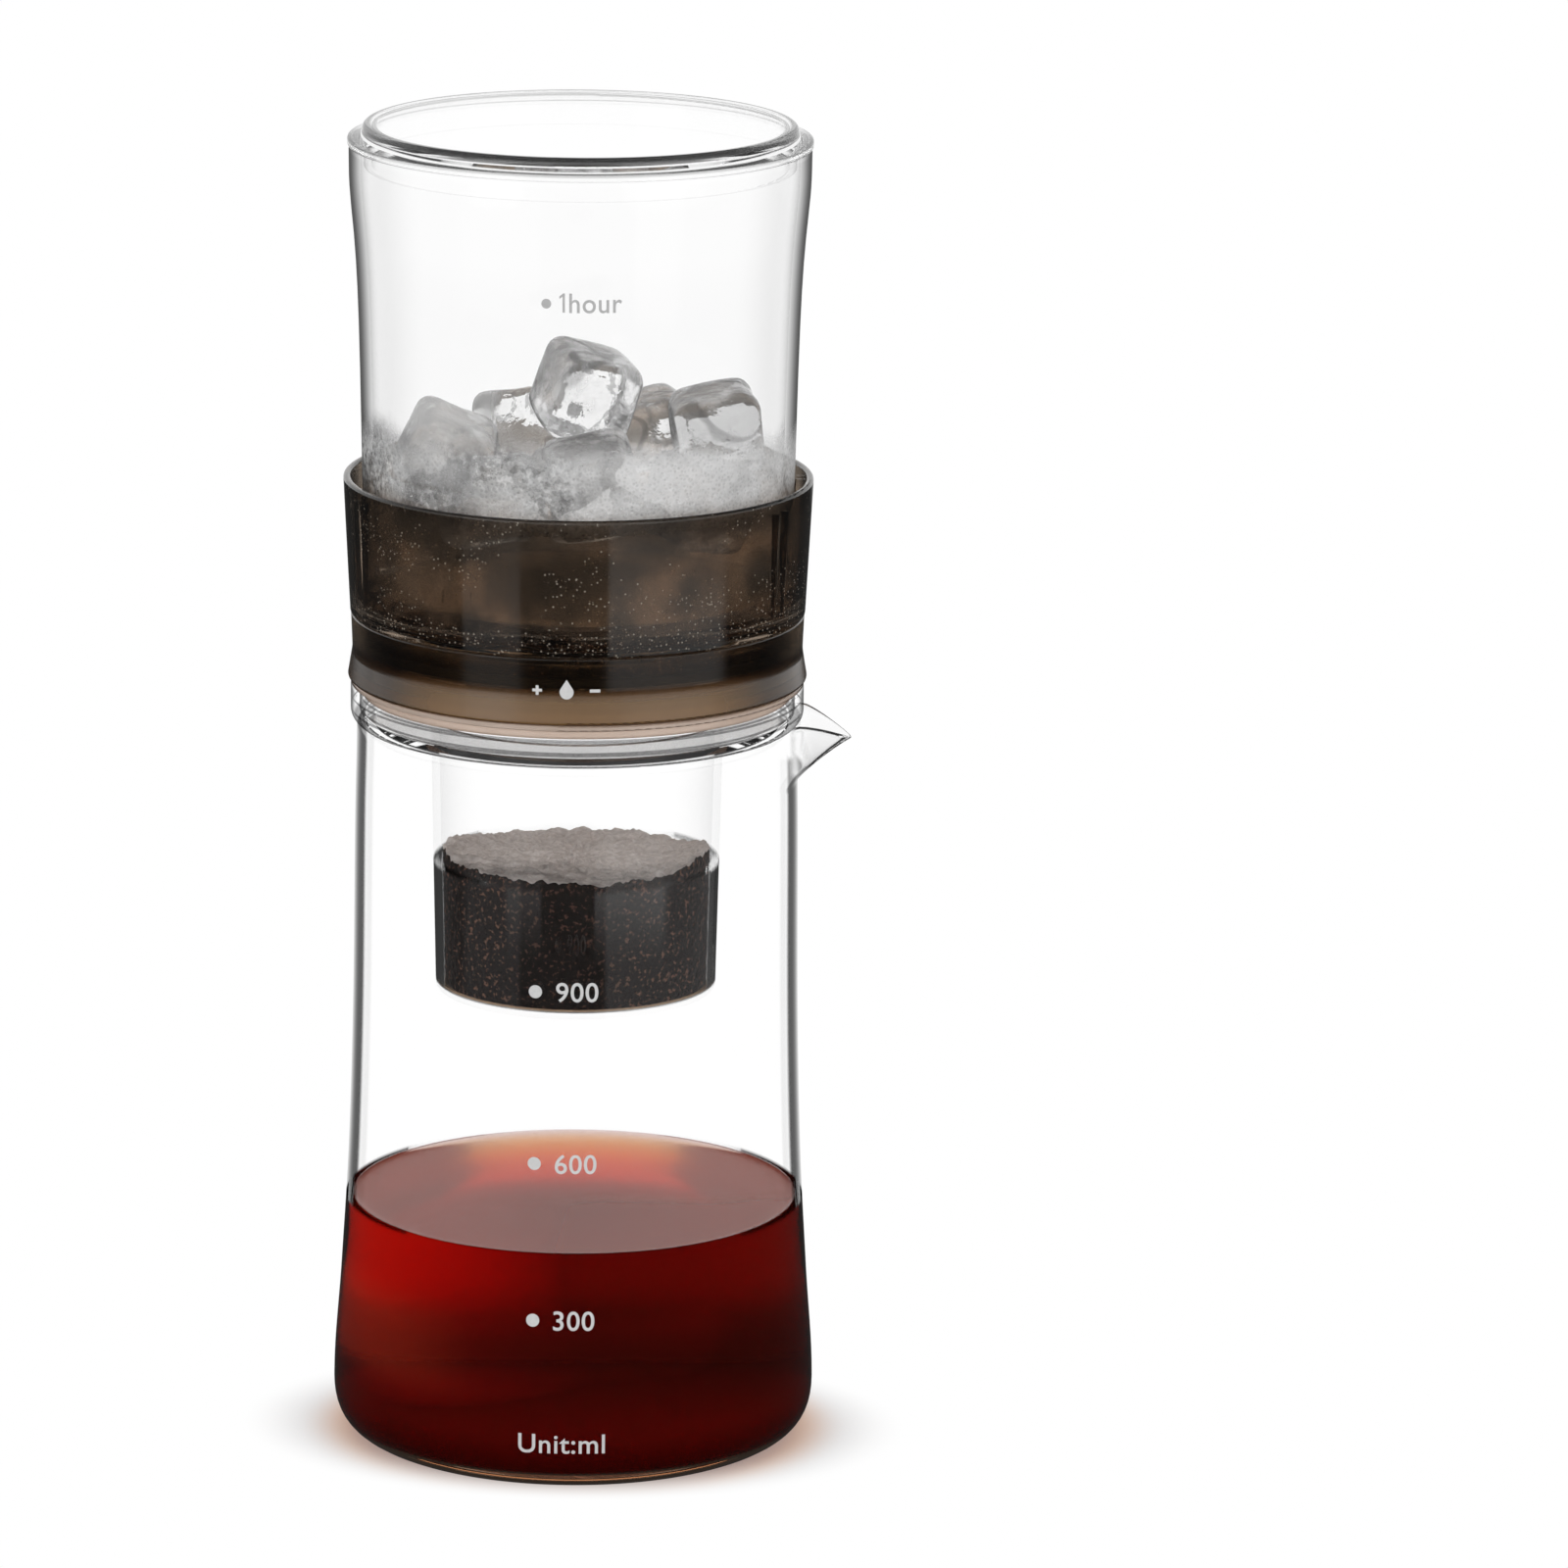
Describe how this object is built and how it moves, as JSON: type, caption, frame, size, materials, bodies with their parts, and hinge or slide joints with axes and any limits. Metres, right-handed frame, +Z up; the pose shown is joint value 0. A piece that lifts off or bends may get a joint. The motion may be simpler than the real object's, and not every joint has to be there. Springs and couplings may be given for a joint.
{
  "type": "cold brew coffee maker",
  "caption": "Cold drip coffee maker: glass carafe with a V spout, filter basket in its neck, drip unit with a turning flow dial, clear ice water tank and a flat lid",
  "frame": {"origin": "centre of the carafe's flat foot, on the table", "axes": "+Z up along the axis that every round piece shares, +X through the carafe's spout, -Y towards the front with the dial's marks and the graduations"},
  "size_m": [0.117, 0.1096, 0.302],
  "materials": {
    "carafe": "clear borosilicate glass, fire polished",
    "brewed_coffee": "dark red-brown liquid, red where light passes",
    "filter_basket": "clear moulded copolyester",
    "screen_mesh": "perforated stainless steel, brushed",
    "paper_filter": "wet natural brown filter paper",
    "coffee_grounds": "wet ground coffee",
    "base_plate": "pale smoke-brown clear moulded plastic",
    "base_screws": "stainless steel, hexagon socket",
    "dial": "smoke-brown clear moulded plastic with printed marks",
    "friction_ring": "black silicone",
    "collar": "dark smoke-brown clear moulded plastic",
    "valve_body": "white acetal",
    "valve_washer": "grey silicone",
    "valve_nut": "black moulded plastic",
    "valve_seat": "grey silicone",
    "valve_spindle": "turned stainless steel",
    "spindle_o_ring": "black rubber",
    "tank_gasket": "grey silicone",
    "tank": "clear moulded copolyester, fogged by cold over the ice",
    "outlet_strainer": "perforated stainless steel",
    "ice_cubes": "half clear ice with white cores",
    "ice_water": "clear melt water",
    "lid": "clear moulded copolyester"
  },
  "bodies": {
    "carafe": {"carafe": "carafe", "brewed_coffee": "brewed_coffee"},
    "basket": {"filter_basket": "filter_basket", "screen_mesh": "screen_mesh", "paper_filter": "paper_filter", "coffee_grounds": "coffee_grounds"},
    "drip_unit": {"base_plate": "base_plate", "base_screws": "base_screws", "friction_ring": "friction_ring", "collar": "collar", "valve_body": "valve_body", "valve_washer": "valve_washer", "valve_nut": "valve_nut", "valve_seat": "valve_seat", "tank_gasket": "tank_gasket"},
    "dial": {"dial": "dial"},
    "spindle": {"valve_spindle": "valve_spindle", "spindle_o_ring": "spindle_o_ring"},
    "tank": {"tank": "tank", "outlet_strainer": "outlet_strainer", "ice_cubes": "ice_cubes", "ice_water": "ice_water"},
    "lid": {"lid": "lid"}
  },
  "joints": [
    {"name": "basket_lift", "type": "slide", "parent": "carafe", "child": "basket", "axis": [0, 0, 1], "range_m": [0, 0.07]},
    {"name": "drip_unit_lift", "type": "slide", "parent": "basket", "child": "drip_unit", "axis": [0, 0, 1], "range_m": [0, 0.02]},
    {"name": "dial_turn", "type": "hinge", "parent": "drip_unit", "child": "dial", "pos_m": [0, 0, 0.184], "axis": [0, 0, 1], "range_deg": [-40, 40]},
    {"name": "spindle_climb", "type": "slide", "parent": "dial", "child": "spindle", "axis": [0, 0, 1], "range_m": [-0.00034, 0.00034]},
    {"name": "tank_lift", "type": "slide", "parent": "drip_unit", "child": "tank", "axis": [0, 0, 1], "range_m": [0, 0.036]},
    {"name": "lid_lift", "type": "slide", "parent": "tank", "child": "lid", "axis": [0, 0, 1], "range_m": [0, 0.015]}
  ],
  "couplings": [
    {"joint": "spindle_climb", "follows": "dial_turn", "m_per_rad": 0.00047746}
  ]
}
